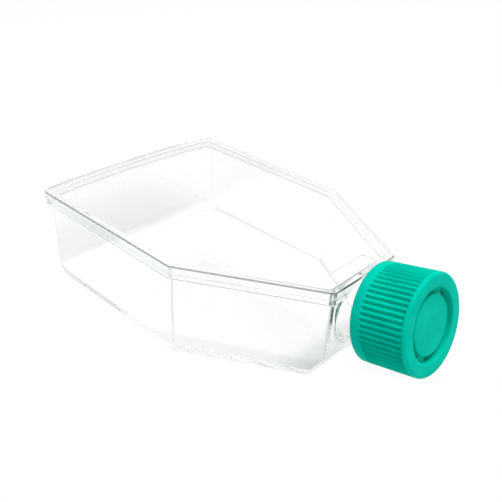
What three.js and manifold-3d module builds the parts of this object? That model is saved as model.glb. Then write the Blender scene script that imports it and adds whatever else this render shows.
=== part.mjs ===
// Cell culture flask with a canted neck and a vented screw cap.
//
// Millimetres. +X runs from the rear wall to the neck, +Z is up, and the flask lies
// on its growth base. The origin is the middle of the body's length on the underside
// of the base.
//
// Pieces: the moulded tray with its neck, the plate welded on top of it, the screw
// cap, and the vent membrane that the cap carries.

import * as THREE from 'three';
import { mergeVertices } from 'three/addons/utils/BufferGeometryUtils.js';
import Module from 'manifold-3d';

const wasm = await Module();
wasm.setup();

// ---------------------------------------------------------------- body, in plan
const BODY_WIDTH = 85;          // across the rim of the top plate
const STRAIGHT_LENGTH = 72;     // rear corner to the bend of the shoulders
const SHOULDER_LENGTH = 45;     // bend of the shoulders to the front face
const FRONT_WIDTH = 32.5;       // width of the rim at the front face
const REAR_BOW = 2.4;           // how far the rear edge bulges out at its middle
const RIM_REAR_RADIUS = 3;      // rounding of the rim's corners, in plan
const RIM_BEND_RADIUS = 1.5;
const RIM_FRONT_RADIUS = 1.8;
const WALL_REAR_RADIUS = 3.8;   // rounding of the walls' corners, in plan
const WALL_BEND_RADIUS = 1.6;
const WALL_FRONT_RADIUS = 3.6;

// ------------------------------------------------------------- body, in height
const BODY_HEIGHT = 34.5;       // underside of the base to the top of the plate
const WALL_THICKNESS = 1.5;
const BASE_THICKNESS = 1.5;
const BASE_EDGE_RADIUS = 0.8;   // rounding where the walls meet the base, outside
const FLOOR_EDGE_RADIUS = 0.6;  // the same, inside
const REAR_EDGE_RADIUS = 6;     // the softer bend of the base into the rear wall
const WALL_DRAFT = 0.3;         // how far in the walls lean at the base
const RIM_OVERHANG = 1.2;       // rim's outer face to the wall's outer face
const FLANGE_DEPTH = 1.9;       // height of the tray's flange
const RAMP_RUN = 4.2;           // the base's front end slopes up to the front wall
const RAMP_RISE = 6.5;
const RAMP_BLEND = 1.2;         // height over which the slope bends into the wall

// -------------------------------------------------------------------- top plate
const PLATE_THICKNESS = 1.5;
const PLATE_RIM_DEPTH = 2.6;    // height of the plate's edge, with its downward rim
const PLATE_EDGE_RADIUS = 0.5;
const WELD_GAP = 0.3;           // left between the plate and the tray
const RECESS_WIDTH = 17.8;      // shallow pocket in the plate, behind the neck
const RECESS_LENGTH = 5.4;
const RECESS_DEPTH = 0.35;
const RECESS_SETBACK = 2.6;     // front face of the rim to the pocket
const RECESS_CORNER_RADIUS = 1.2;
const BRIDGE_THICKNESS = 0.8;   // what the plate keeps above the neck

// ------------------------------------------------------------------------- neck
const CANT_ANGLE = 14;          // degrees that the neck points up
const NECK_AXIS_HEIGHT = 21.6;  // where the axis leaves the front wall
const NECK_RADIUS = 12.2;
const NECK_WALL = 2;
const NECK_LENGTH = 22.6;       // front wall to the neck's rim, along the axis
const NECK_SIDE_FILLET = 0.3;   // flare at the root, at the sides
const NECK_UNDER_FILLET = 3;    // flare at the root, below
const NECK_RIM_CHAMFER = 0.5;

// ---------------------------------------------------------------------- the cap
const CAP_RADIUS = 16.3;
const CAP_HEIGHT = 18.8;
const CAP_TOP_THICKNESS = 3.2;  // ceiling inside to the outer face
const CAP_BORE_CLEARANCE = 1.7; // neck to the cap's plain bore, taken up by threads
const CAP_RING_HEIGHT = 3;      // smooth band at the open end
const CAP_EDGE_CHAMFER = 0.9;
const RIB_COUNT = 58;
const RIB_DEPTH = 0.7;
const RIB_END_LENGTH = 0.35;    // how quickly a rib rises at each end
const RIB_TOP_MARGIN = 1.1;     // plain band between the ribs and the outer face
const GROOVE_OUTER_RADIUS = 11.7;
const GROOVE_WIDTH = 2;
const GROOVE_FLOOR_THICKNESS = 1.2;
const DISC_SETBACK = 0.9;       // outer face to the face of the central disc
const DISC_EDGE_RADIUS = 0.5;
const VENT_COUNT = 6;           // windows through the groove's floor
const VENT_BRIDGE_ANGLE = 26;   // degrees of floor kept between two windows
const VENT_MARGIN = 0.25;       // floor kept along each side of a window

// ----------------------------------------------------------------- the membrane
const MEMBRANE_RADIUS = 12.2;
const MEMBRANE_THICKNESS = 0.4;
const SEAT_GAP = 0.3;           // above and below the membrane

// ------------------------------------------------------------------ derived sizes
const REAR_X = -(STRAIGHT_LENGTH + SHOULDER_LENGTH) / 2;
const BEND_X = REAR_X + STRAIGHT_LENGTH;
const FRONT_X = REAR_X + STRAIGHT_LENGTH + SHOULDER_LENGTH;
const FRONT_WALL_X = FRONT_X - RIM_OVERHANG;

const PLATE_RIM_Z = BODY_HEIGHT - PLATE_RIM_DEPTH;
const PLATE_UNDERSIDE_Z = BODY_HEIGHT - PLATE_THICKNESS;
const WALL_TOP_Z = PLATE_UNDERSIDE_Z - WELD_GAP;
const FLANGE_TOP_Z = PLATE_RIM_Z - WELD_GAP;
const FLANGE_Z = FLANGE_TOP_Z - FLANGE_DEPTH;
const BRIDGE_Z = BODY_HEIGHT - BRIDGE_THICKNESS;

const CANT = THREE.MathUtils.degToRad(CANT_ANGLE);
const NECK_BORE_RADIUS = NECK_RADIUS - NECK_WALL;
const CAP_BORE_RADIUS = NECK_RADIUS + CAP_BORE_CLEARANCE;
const CAP_CEILING = CAP_HEIGHT - CAP_TOP_THICKNESS;
const MEMBRANE_Z = NECK_LENGTH + SEAT_GAP;
const CAP_Z = MEMBRANE_Z + MEMBRANE_THICKNESS + SEAT_GAP - CAP_CEILING;

const ROUND_SEGMENTS = 60;      // sides of a full circle
const CUT_MARGIN = 5;           // how far a cutting tool stands clear of the work

// ------------------------------------------------------------------------ solids

function toSolid(geometry) {
  const bare = geometry.clone();
  bare.deleteAttribute('normal');
  bare.deleteAttribute('uv');
  const merged = mergeVertices(bare, 1e-5);
  const mesh = new wasm.Mesh({
    numProp: 3,
    vertProperties: new Float32Array(merged.attributes.position.array),
    triVerts: new Uint32Array(merged.index.array),
  });
  return new wasm.Manifold(mesh);
}

function toGeometry(solid) {
  const mesh = solid.getMesh();
  const geometry = new THREE.BufferGeometry();
  geometry.setAttribute('position', new THREE.BufferAttribute(mesh.vertProperties, 3));
  geometry.setIndex(new THREE.BufferAttribute(mesh.triVerts, 1));
  geometry.computeVertexNormals();
  return geometry;
}

// Closed skin over a stack of rings. Every ring has as many points as the others,
// turning anticlockwise when seen from the last ring.
function loft(rings) {
  const count = rings[0].length;
  const positions = [];
  const index = [];
  for (const ring of rings) {
    for (const p of ring) {
      positions.push(p.x, p.y, p.z);
    }
  }
  for (let k = 0; k + 1 < rings.length; k += 1) {
    for (let i = 0; i < count; i += 1) {
      const j = (i + 1) % count;
      const a = k * count + i;
      const b = k * count + j;
      index.push(a, b, b + count, a, b + count, a + count);
    }
  }
  const ends = [rings[0], rings[rings.length - 1]];
  ends.forEach((ring, end) => {
    const centre = new THREE.Vector3();
    ring.forEach((p) => centre.add(p));
    centre.divideScalar(count);
    const c = positions.length / 3;
    positions.push(centre.x, centre.y, centre.z);
    const start = end * (rings.length - 1) * count;
    for (let i = 0; i < count; i += 1) {
      const a = start + i;
      const b = start + ((i + 1) % count);
      if (end === 0) {
        index.push(c, b, a);
      } else {
        index.push(c, a, b);
      }
    }
  });
  const geometry = new THREE.BufferGeometry();
  geometry.setAttribute('position', new THREE.Float32BufferAttribute(positions, 3));
  geometry.setIndex(index);
  return toSolid(geometry);
}

function box(x0, x1, y0, y1, z0, z1) {
  const geometry = new THREE.BoxGeometry(x1 - x0, y1 - y0, z1 - z0);
  geometry.translate((x0 + x1) / 2, (y0 + y1) / 2, (z0 + z1) / 2);
  return toSolid(geometry);
}

// Solid of revolution about +Z. The profile climbs from the axis back to the axis.
function revolve(profile) {
  const points = profile.map(([r, z]) => new THREE.Vector2(r, z));
  return toSolid(new THREE.LatheGeometry(points, ROUND_SEGMENTS).rotateX(Math.PI / 2));
}

function cylinder(radius, z0, z1) {
  return revolve([[0, z0], [radius, z0], [radius, z1], [0, z1]]);
}

// ------------------------------------------------------------------ body outline

// Where two lines cross, each given by a point and a direction.
function crossing(p, u, q, v) {
  const t = ((q.x - p.x) * v.y - (q.y - p.y) * v.x) / (u.x * v.y - u.y * v.x);
  return new THREE.Vector2(p.x + t * u.x, p.y + t * u.y);
}

// Round off the corner at b between a and c.
function roundedCorner(a, b, c, radius, segments) {
  const toA = a.clone().sub(b).normalize();
  const toC = c.clone().sub(b).normalize();
  const half = Math.acos(THREE.MathUtils.clamp(toA.dot(toC), -1, 1)) / 2;
  const reach = radius / Math.tan(half);
  const inward = toA.clone().add(toC).normalize();
  const centre = b.clone().addScaledVector(inward, radius / Math.sin(half));
  const start = b.clone().addScaledVector(toA, reach).sub(centre);
  const sweep = Math.PI - 2 * half;
  const points = [];
  for (let i = 0; i <= segments; i += 1) {
    const turned = start.clone().rotateAround(new THREE.Vector2(), (sweep * i) / segments);
    points.push(turned.add(centre));
  }
  return points;
}

// The body's plan, moved inward by inset, anticlockwise from the near rear corner. The
// front and the rear edge can be pulled in further.
function outline(inset, radii, frontPull, rearPull) {
  const half = BODY_WIDTH / 2 - inset;
  const along = new THREE.Vector2(SHOULDER_LENGTH, FRONT_WIDTH / 2 - BODY_WIDTH / 2).normalize();
  const inward = new THREE.Vector2(along.y, -along.x);
  const bend = new THREE.Vector2(BEND_X, BODY_WIDTH / 2).addScaledVector(inward, inset);
  const xAxis = new THREE.Vector2(1, 0);
  const yAxis = new THREE.Vector2(0, 1);
  const side = crossing(bend, along, new THREE.Vector2(0, half), xAxis);
  const frontX = FRONT_X - inset - frontPull;
  const front = crossing(bend, along, new THREE.Vector2(frontX, 0), yAxis);
  const mirror = (p) => new THREE.Vector2(p.x, -p.y);
  const rear = new THREE.Vector2(REAR_X + inset + rearPull, half);
  const corners = [mirror(rear), mirror(side), mirror(front), front, side, rear];
  const cornerRadii = [radii.rear, radii.bend, radii.front, radii.front, radii.bend, radii.rear];
  const cornerSegments = [8, 3, 6, 6, 3, 8];
  const points = [];
  corners.forEach((corner, i) => {
    const before = corners[(i + 5) % 6];
    const after = corners[(i + 1) % 6];
    points.push(...roundedCorner(before, corner, after, cornerRadii[i], cornerSegments[i]));
  });
  const rearSteps = 14;
  const last = points[points.length - 1];
  const first = points[0];
  for (let i = 1; i < rearSteps; i += 1) {
    points.push(last.clone().lerp(first, i / rearSteps));
  }
  for (const p of points) {
    if (p.x < BEND_X) {
      p.x -= REAR_BOW * Math.max(0, 1 - (p.y / half) ** 2);
    }
  }
  return points;
}

function ringAt(z, inset, radii, frontPull = 0, rearPull = 0) {
  const plan = outline(inset, radii, frontPull, rearPull);
  return plan.map((p) => new THREE.Vector3(p.x, p.y, z));
}

const SMALLEST_RADIUS = 0.2;
const SMALLEST_STEP = 0.1;      // least height between two turns of the walls

function reduced(radii, amount) {
  const less = (r) => Math.max(SMALLEST_RADIUS, r - amount);
  return { rear: less(radii.rear), bend: less(radii.bend), front: less(radii.front) };
}

const RIM_RADII = {
  rear: RIM_REAR_RADIUS,
  bend: RIM_BEND_RADIUS,
  front: RIM_FRONT_RADIUS,
};
const WALL_RADII = {
  rear: WALL_REAR_RADIUS,
  bend: WALL_BEND_RADIUS,
  front: WALL_FRONT_RADIUS,
};

// How far the sloping front end stands behind the front wall at a height, for a
// surface offset inward by extra.
function rampPull(z, extra) {
  const slope = Math.atan2(RAMP_RISE, RAMP_RUN);
  const rate = RAMP_RUN / RAMP_RISE;
  const straight = RAMP_RUN + extra * (1 / Math.sin(slope) - 1) - rate * z;
  const blend = (rate * RAMP_BLEND) / 2;
  if (straight > blend) {
    return straight;
  }
  return Math.max(0, straight + blend) ** 2 / (4 * blend);
}

// How far the bend into the base stands in front of the rear wall at a height.
function rearPull(z, extra) {
  const radius = REAR_EDGE_RADIUS - extra;
  const below = Math.max(0, REAR_EDGE_RADIUS - z);
  return radius - Math.sqrt(Math.max(0, radius ** 2 - below ** 2));
}

// One turn of the walls at a height, offset inward by extra, with an edge pulled in.
function wallRing(z, extra, edge) {
  const inset = RIM_OVERHANG + WALL_DRAFT * (1 - z / WALL_TOP_Z) + extra + edge;
  const radii = reduced(WALL_RADII, extra + edge);
  return ringAt(z, inset, radii, rampPull(z, extra), Math.max(0, rearPull(z, extra) - edge));
}

// Walls from a rounded bottom edge at z0 up to z1, offset inward by extra.
function wallBlock(z0, z1, extra, edgeRadius) {
  const steps = 4;
  const edgeTop = z0 + edgeRadius;
  const rings = [];
  for (let i = 0; i <= steps; i += 1) {
    const a = (Math.PI / 2) * (i / steps);
    rings.push(wallRing(edgeTop - edgeRadius * Math.cos(a), extra, edgeRadius * (1 - Math.sin(a))));
  }
  const heights = [z1];
  for (let i = 0; i <= steps; i += 1) {
    heights.push(RAMP_RISE + RAMP_BLEND * (i / steps - 0.5));
    heights.push(THREE.MathUtils.lerp(edgeTop, REAR_EDGE_RADIUS, ((i + 1) / (steps + 1)) ** 1.5));
  }
  heights.sort((a, b) => a - b);
  let last = edgeTop;
  for (const z of heights) {
    if (z > last + SMALLEST_STEP && z <= z1) {
      rings.push(wallRing(z, extra, 0));
      last = z;
    }
  }
  return loft(rings);
}

// -------------------------------------------------------------------------- neck

// Frame of the neck: +Z along its axis, -X upward, origin on the front wall.
function placeOnNeck(object) {
  object.position.set(FRONT_WALL_X, 0, NECK_AXIS_HEIGHT);
  object.rotation.set(0, Math.PI / 2 - CANT, 0);
  object.updateMatrix();
  return object;
}

const NECK_MATRIX = placeOnNeck(new THREE.Group()).matrix;

function onNeck(solid) {
  const geometry = toGeometry(solid);
  geometry.applyMatrix4(NECK_MATRIX);
  return toSolid(geometry);
}

// Ring round the neck whose points stand at a given distance from the front wall.
function rootRing(distance, radiusAt) {
  const ring = [];
  for (let i = 0; i < ROUND_SEGMENTS; i += 1) {
    const a = (2 * Math.PI * i) / ROUND_SEGMENTS;
    const fillet = rootFillet(a);
    const radius = radiusAt(fillet);
    const rise = -Math.cos(a) * radius;
    const z = (distance(fillet) + rise * Math.sin(CANT)) / Math.cos(CANT);
    ring.push(new THREE.Vector3(radius * Math.cos(a), radius * Math.sin(a), z));
  }
  return ring;
}

// The flare at the root is widest below the neck.
function rootFillet(a) {
  const below = Math.max(0, Math.cos(a)) ** 2;
  return NECK_SIDE_FILLET + (NECK_UNDER_FILLET - NECK_SIDE_FILLET) * below;
}

function circle(radius, z) {
  const ring = [];
  for (let i = 0; i < ROUND_SEGMENTS; i += 1) {
    const a = (2 * Math.PI * i) / ROUND_SEGMENTS;
    ring.push(new THREE.Vector3(radius * Math.cos(a), radius * Math.sin(a), z));
  }
  return ring;
}

// The neck's outside, from inside the front wall to the rim.
function neckBlock() {
  const steps = 6;
  const rings = [rootRing(() => -WALL_THICKNESS / 2, (fillet) => NECK_RADIUS + fillet)];
  for (let i = 0; i <= steps; i += 1) {
    const a = (Math.PI / 2) * (i / steps);
    const away = (fillet) => fillet * (1 - Math.cos(a));
    const radius = (fillet) => NECK_RADIUS + fillet * (1 - Math.sin(a));
    rings.push(rootRing(away, radius));
  }
  rings.push(circle(NECK_RADIUS, NECK_LENGTH - NECK_RIM_CHAMFER));
  rings.push(circle(NECK_RADIUS - NECK_RIM_CHAMFER, NECK_LENGTH));
  return onNeck(loft(rings));
}

// The bore, from the culture space out past the rim.
function boreCutter() {
  const reach = NECK_RADIUS * Math.tan(CANT) + WALL_THICKNESS + RIM_OVERHANG;
  const flare = NECK_BORE_RADIUS + NECK_RIM_CHAMFER;
  return onNeck(revolve([
    [0, -reach],
    [NECK_BORE_RADIUS, -reach],
    [NECK_BORE_RADIUS, NECK_LENGTH - NECK_RIM_CHAMFER],
    [flare, NECK_LENGTH],
    [flare, NECK_LENGTH + CUT_MARGIN],
    [0, NECK_LENGTH + CUT_MARGIN],
  ]));
}

// ------------------------------------------------------------------------ pieces

function clearPlastic() {
  return new THREE.MeshStandardMaterial({ color: 0xeef3f1, roughness: 0.05, metalness: 0 });
}

// The moulded tray: base, drafted walls, sloping front end, flange and neck.
function makeTray() {
  const side = BODY_WIDTH / 2 + CUT_MARGIN;
  const rear = REAR_X - REAR_BOW - CUT_MARGIN;
  const above = BODY_HEIGHT + CUT_MARGIN;
  const flange = loft([ringAt(FLANGE_Z, 0, RIM_RADII), ringAt(FLANGE_TOP_Z, 0, RIM_RADII)]);
  const overWall = box(rear, FRONT_WALL_X, -side, side, WALL_TOP_Z, above);
  const plateFront = FRONT_X + WELD_GAP;
  const overNeck = box(rear, plateFront, -side, side, BRIDGE_Z - WELD_GAP, above);
  const neck = neckBlock().subtract(overWall).subtract(overNeck);
  const outside = wallBlock(0, WALL_TOP_Z, 0, BASE_EDGE_RADIUS).add(flange).add(neck);
  const inside = wallBlock(BASE_THICKNESS, above, WALL_THICKNESS, FLOOR_EDGE_RADIUS);
  const tray = outside.subtract(inside).subtract(boreCutter());
  const mesh = new THREE.Mesh(toGeometry(tray), clearPlastic());
  mesh.name = 'flask_tray';
  return mesh;
}

// Rounded rectangle in plan, cut down into the plate's top.
function recessCutter() {
  const front = FRONT_X - RECESS_SETBACK;
  const rear = front - RECESS_LENGTH;
  const half = RECESS_WIDTH / 2;
  const corners = [
    new THREE.Vector2(rear, -half),
    new THREE.Vector2(front, -half),
    new THREE.Vector2(front, half),
    new THREE.Vector2(rear, half),
  ];
  const points = [];
  corners.forEach((corner, i) => {
    const before = corners[(i + 3) % 4];
    const after = corners[(i + 1) % 4];
    points.push(...roundedCorner(before, corner, after, RECESS_CORNER_RADIUS, 4));
  });
  const ring = (z) => points.map((p) => new THREE.Vector3(p.x, p.y, z));
  return loft([ring(BODY_HEIGHT - RECESS_DEPTH), ring(BODY_HEIGHT + CUT_MARGIN)]);
}

// The room that the neck needs in the plate's front rim.
function neckRelief() {
  const reach = NECK_LENGTH;
  const tube = onNeck(cylinder(NECK_RADIUS + NECK_SIDE_FILLET + WELD_GAP, -reach, reach));
  const x0 = FRONT_WALL_X - WELD_GAP;
  const room = box(x0, FRONT_X + CUT_MARGIN, -BODY_WIDTH, BODY_WIDTH, 0, BRIDGE_Z);
  return tube.intersect(room);
}

// The plate that closes the tray, with a downward rim round its edge.
function makePlate() {
  const steps = 3;
  const rings = [ringAt(PLATE_RIM_Z, 0, RIM_RADII)];
  for (let i = 0; i <= steps; i += 1) {
    const a = (Math.PI / 2) * (i / steps);
    const z = BODY_HEIGHT - PLATE_EDGE_RADIUS * (1 - Math.sin(a));
    const pulledIn = PLATE_EDGE_RADIUS * (1 - Math.cos(a));
    rings.push(ringAt(z, pulledIn, reduced(RIM_RADII, pulledIn)));
  }
  const rimWidth = RIM_OVERHANG - WELD_GAP;
  const under = [PLATE_RIM_Z - CUT_MARGIN, PLATE_UNDERSIDE_Z]
    .map((z) => ringAt(z, rimWidth, WALL_RADII));
  const plate = loft(rings)
    .subtract(loft(under))
    .subtract(recessCutter())
    .subtract(neckRelief());
  const mesh = new THREE.Mesh(toGeometry(plate), clearPlastic());
  mesh.name = 'top_plate';
  return mesh;
}

// One turn of the cap's outside at a height: rib is 0 on a smooth band, 1 on full ribs.
function capRing(radius, rib, z) {
  const perRib = 4;
  const count = RIB_COUNT * perRib;
  const ring = [];
  for (let i = 0; i < count; i += 1) {
    const a = (2 * Math.PI * i) / count;
    const valley = (1 - Math.cos(RIB_COUNT * a)) / 2;
    const r = radius - rib * RIB_DEPTH * valley ** 0.75;
    ring.push(new THREE.Vector3(r * Math.cos(a), r * Math.sin(a), z));
  }
  return ring;
}

// Windows through the floor of the cap's groove.
function ventCutter() {
  const inner = GROOVE_OUTER_RADIUS - GROOVE_WIDTH + VENT_MARGIN;
  const outer = GROOVE_OUTER_RADIUS - VENT_MARGIN;
  const pitch = (2 * Math.PI) / VENT_COUNT;
  const sweep = pitch - THREE.MathUtils.degToRad(VENT_BRIDGE_ANGLE);
  const windows = [];
  for (let i = 0; i < VENT_COUNT; i += 1) {
    const start = i * pitch - sweep / 2;
    const shape = new THREE.Shape();
    shape.absarc(0, 0, outer, start, start + sweep, false);
    shape.absarc(0, 0, inner, start + sweep, start, true);
    shape.closePath();
    const options = { depth: CAP_TOP_THICKNESS, bevelEnabled: false, curveSegments: 8 };
    const geometry = new THREE.ExtrudeGeometry(shape, options);
    geometry.translate(0, 0, CAP_CEILING - CAP_TOP_THICKNESS / 2);
    windows.push(toSolid(geometry));
  }
  return windows.reduce((all, one) => all.add(one));
}

// The groove round the central disc, and the disc's set-back face.
function faceCutter() {
  const discRadius = GROOVE_OUTER_RADIUS - GROOVE_WIDTH;
  const discZ = CAP_HEIGHT - DISC_SETBACK;
  const grooveZ = CAP_CEILING + GROOVE_FLOOR_THICKNESS;
  const profile = [[0, discZ]];
  const steps = 3;
  for (let i = 0; i <= steps; i += 1) {
    const a = (Math.PI / 2) * (i / steps);
    const r = discRadius - DISC_EDGE_RADIUS * (1 - Math.sin(a));
    profile.push([r, discZ - DISC_EDGE_RADIUS * (1 - Math.cos(a))]);
  }
  profile.push([discRadius, grooveZ], [GROOVE_OUTER_RADIUS, grooveZ]);
  profile.push([GROOVE_OUTER_RADIUS, CAP_HEIGHT + CUT_MARGIN], [0, CAP_HEIGHT + CUT_MARGIN]);
  return revolve(profile);
}

// The screw cap, open end at z = 0.
function makeCap() {
  const edge = CAP_EDGE_CHAMFER;
  const ribStart = CAP_RING_HEIGHT;
  const ribEnd = CAP_HEIGHT - RIB_TOP_MARGIN;
  const outside = loft([
    capRing(CAP_RADIUS - edge / 3, 0, 0),
    capRing(CAP_RADIUS, 0, edge / 3),
    capRing(CAP_RADIUS, 0, ribStart),
    capRing(CAP_RADIUS, 1, ribStart + RIB_END_LENGTH),
    capRing(CAP_RADIUS, 1, ribEnd - RIB_END_LENGTH),
    capRing(CAP_RADIUS, 0, ribEnd),
    capRing(CAP_RADIUS - edge / 4, 0, CAP_HEIGHT - edge / 2),
    capRing(CAP_RADIUS - edge, 0, CAP_HEIGHT),
  ]);
  const cap = outside
    .subtract(cylinder(CAP_BORE_RADIUS, -CUT_MARGIN, CAP_CEILING))
    .subtract(faceCutter())
    .subtract(ventCutter());
  const material = new THREE.MeshStandardMaterial({ color: 0x00b89c, roughness: 0.45, metalness: 0 });
  const mesh = new THREE.Mesh(toGeometry(cap), material);
  mesh.name = 'screw_cap';
  mesh.position.z = CAP_Z;
  return mesh;
}

// The water-repellent disc that lets the culture breathe through the cap's windows.
function makeMembrane() {
  const solid = cylinder(MEMBRANE_RADIUS, 0, MEMBRANE_THICKNESS);
  const material = new THREE.MeshStandardMaterial({ color: 0xf4f4f0, roughness: 0.9, metalness: 0 });
  const mesh = new THREE.Mesh(toGeometry(solid), material);
  mesh.name = 'vent_membrane';
  mesh.position.z = MEMBRANE_Z;
  return mesh;
}

const closure = placeOnNeck(new THREE.Group());
closure.add(makeMembrane(), makeCap());

const flask = new THREE.Group();
flask.add(makeTray(), makePlate(), closure);

export default flask;
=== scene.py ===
# %% [markdown]
# # Dressing a cell culture flask
#
# A culture flask is a flat, clear polystyrene bottle in which cells grow on the floor. It is made
# as an open tray with a flange round its top, and a flat plate is welded on the flange. A short
# neck leans out of the narrow end and takes a ribbed screw cap, and a white membrane under the
# cap's grooved face lets the culture breathe.
#
# The solid model already has every piece at its size. This lesson gives the pieces their finish:
# clear plastic that goes grey-green at its edges, satin teal plastic with fine ribs, the screw
# threads, and the membrane's fibres. The frame is in metres, with Z up. Sizes of the pieces are
# written in millimetres, and turned into metres where their points are made.

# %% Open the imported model
import math

import bpy
import numpy as np
from mathutils import Matrix, Vector


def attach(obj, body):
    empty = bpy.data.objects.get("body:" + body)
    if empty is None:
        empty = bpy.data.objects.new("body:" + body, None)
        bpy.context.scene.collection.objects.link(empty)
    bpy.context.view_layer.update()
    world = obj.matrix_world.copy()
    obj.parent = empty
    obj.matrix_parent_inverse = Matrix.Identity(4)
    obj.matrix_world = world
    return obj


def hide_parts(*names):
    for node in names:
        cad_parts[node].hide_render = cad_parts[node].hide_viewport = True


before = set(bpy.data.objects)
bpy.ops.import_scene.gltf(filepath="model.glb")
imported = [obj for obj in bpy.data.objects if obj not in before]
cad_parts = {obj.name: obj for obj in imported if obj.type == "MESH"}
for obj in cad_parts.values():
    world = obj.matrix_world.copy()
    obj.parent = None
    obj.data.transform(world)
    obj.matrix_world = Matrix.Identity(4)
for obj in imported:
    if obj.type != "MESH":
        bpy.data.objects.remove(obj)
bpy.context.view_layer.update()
print("CAD nodes:", ", ".join(sorted(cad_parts)))

MM = 0.001

# %% [markdown]
# ## Camera
#
# The camera stands in front of the neck, to its right and above, and looks down over the cap
# along the flask. A medium lens, close by, makes the near cap look larger than the far end. The
# place and the three angles come from lining up the flask's corners by least squares.
# An orbit angle and a height angle say where it stands, and a slight roll tips the horizon.

# %% Place the camera
CAMERA_PLACE = Vector((0.14371, -0.15018, 0.14173))
CAMERA_ORBIT = math.radians(41.767)
CAMERA_HEIGHT_ANGLE = math.radians(30.955)
CAMERA_ROLL = math.radians(3.053)
SENSOR_WIDTH = 36.0
LENS = 46.092


def camera_turn(orbit, height, roll):
    """Rotation whose columns are the camera's right, up and backward directions.

    Backward points from the object to the camera. Right is level and then tipped by the roll
    round the backward direction.
    """
    level = Vector((math.cos(orbit), math.sin(orbit), 0.0))
    back = Vector((
        math.sin(orbit) * math.cos(height),
        -math.cos(orbit) * math.cos(height),
        math.sin(height),
    ))
    above = back.cross(level)
    right = level * math.cos(roll) + above * math.sin(roll)
    above = back.cross(right)
    return Matrix((right, above, back)).transposed()


camera_data = bpy.data.cameras.new("camera")
camera_data.sensor_width = SENSOR_WIDTH
camera_data.lens = LENS
camera_data.clip_start = 0.01
camera_data.clip_end = 20.0
camera = bpy.data.objects.new("camera", camera_data)
turn = camera_turn(CAMERA_ORBIT, CAMERA_HEIGHT_ANGLE, CAMERA_ROLL)
camera.matrix_world = Matrix.Translation(CAMERA_PLACE) @ turn.to_4x4()
bpy.context.scene.collection.objects.link(camera)
bpy.context.scene.camera = camera
print("camera is", round(CAMERA_PLACE.length, 3), "m from the frame's origin")

# %% [markdown]
# ## Two helpers: surfaces and shader maths
#
# Every new piece here is a stack of rings of points: one direction runs along a profile, and the
# other carries it round. So one helper turns a whole array of points into a mesh.
#
# A finish is arithmetic on patterns. Blender does it with Math nodes, one for each operation,
# which are slow to write by hand. A small class wraps a node's output and overloads the operators,
# so that an ordinary expression adds the nodes.

# %% Rings of points to mesh


def grid_faces(rows, columns):
    """Four-cornered faces of stacked rings of points, a point being row * columns + column.

    Each face joins a point, its neighbour in the next column, the one diagonal to it and its
    neighbour in the next row. Every row is a closed ring, so its last point joins its first.
    """
    row, column = np.meshgrid(np.arange(rows - 1), np.arange(columns), indexing="ij")
    beside = (column + 1) % columns
    here = row * columns
    above = here + columns
    corners = (here + column, here + beside, above + beside, above + column)
    return np.stack(corners, axis=-1).reshape(-1, 4)


def make_mesh(name, points, faces):
    """A mesh object with its points in the frame's own metres and its object at the origin."""
    mesh = bpy.data.meshes.new(name)
    mesh.from_pydata(points.reshape(-1, 3).tolist(), [], [list(f) for f in faces])
    mesh.validate()
    mesh.update()
    thing = bpy.data.objects.new(name, mesh)
    bpy.context.scene.collection.objects.link(thing)
    return thing


def shade(thing, sharp_angle):
    """Smooth shading, with edges that fold by more than sharp_angle degrees left crisp."""
    thing.data.shade_smooth()
    thing.data.set_sharp_from_angle(angle=math.radians(sharp_angle))
    weighted = thing.modifiers.new("even flats", "WEIGHTED_NORMAL")
    weighted.keep_sharp = True


def smooth(values, low, high):
    """0 below low, 1 above high, and a smooth S between them."""
    share = np.clip((values - low) / (high - low), 0, 1)
    return share * share * (3 - 2 * share)


print("mesh helpers ready")

# %% Shader arithmetic


class Value:
    """A number that varies over a surface: a node's output with ordinary arithmetic."""

    def __init__(self, finish, socket):
        self.finish = finish
        self.socket = socket

    def math(self, operation, *others):
        inputs = [self, *others]
        return self.finish.node("ShaderNodeMath", {"operation": operation}, inputs)

    def __add__(self, other):
        return self.math("ADD", other)

    def __sub__(self, other):
        return self.math("SUBTRACT", other)

    def __rsub__(self, other):
        return self.finish.node("ShaderNodeMath", {"operation": "SUBTRACT"}, [other, self])

    def __mul__(self, other):
        return self.math("MULTIPLY", other)

    __radd__ = __add__
    __rmul__ = __mul__

    def abs(self):
        return self.math("ABSOLUTE")

    def larger(self, other):
        return self.math("MAXIMUM", other)

    def smaller(self, other):
        return self.math("MINIMUM", other)

    def rise(self, low, high):
        """0 below low, 1 above high, and a smooth S between them."""
        settings = {"interpolation_type": "SMOOTHSTEP"}
        inputs = {"Value": self, "From Min": low, "From Max": high}
        return self.finish.node("ShaderNodeMapRange", settings, inputs, "Result")


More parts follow.
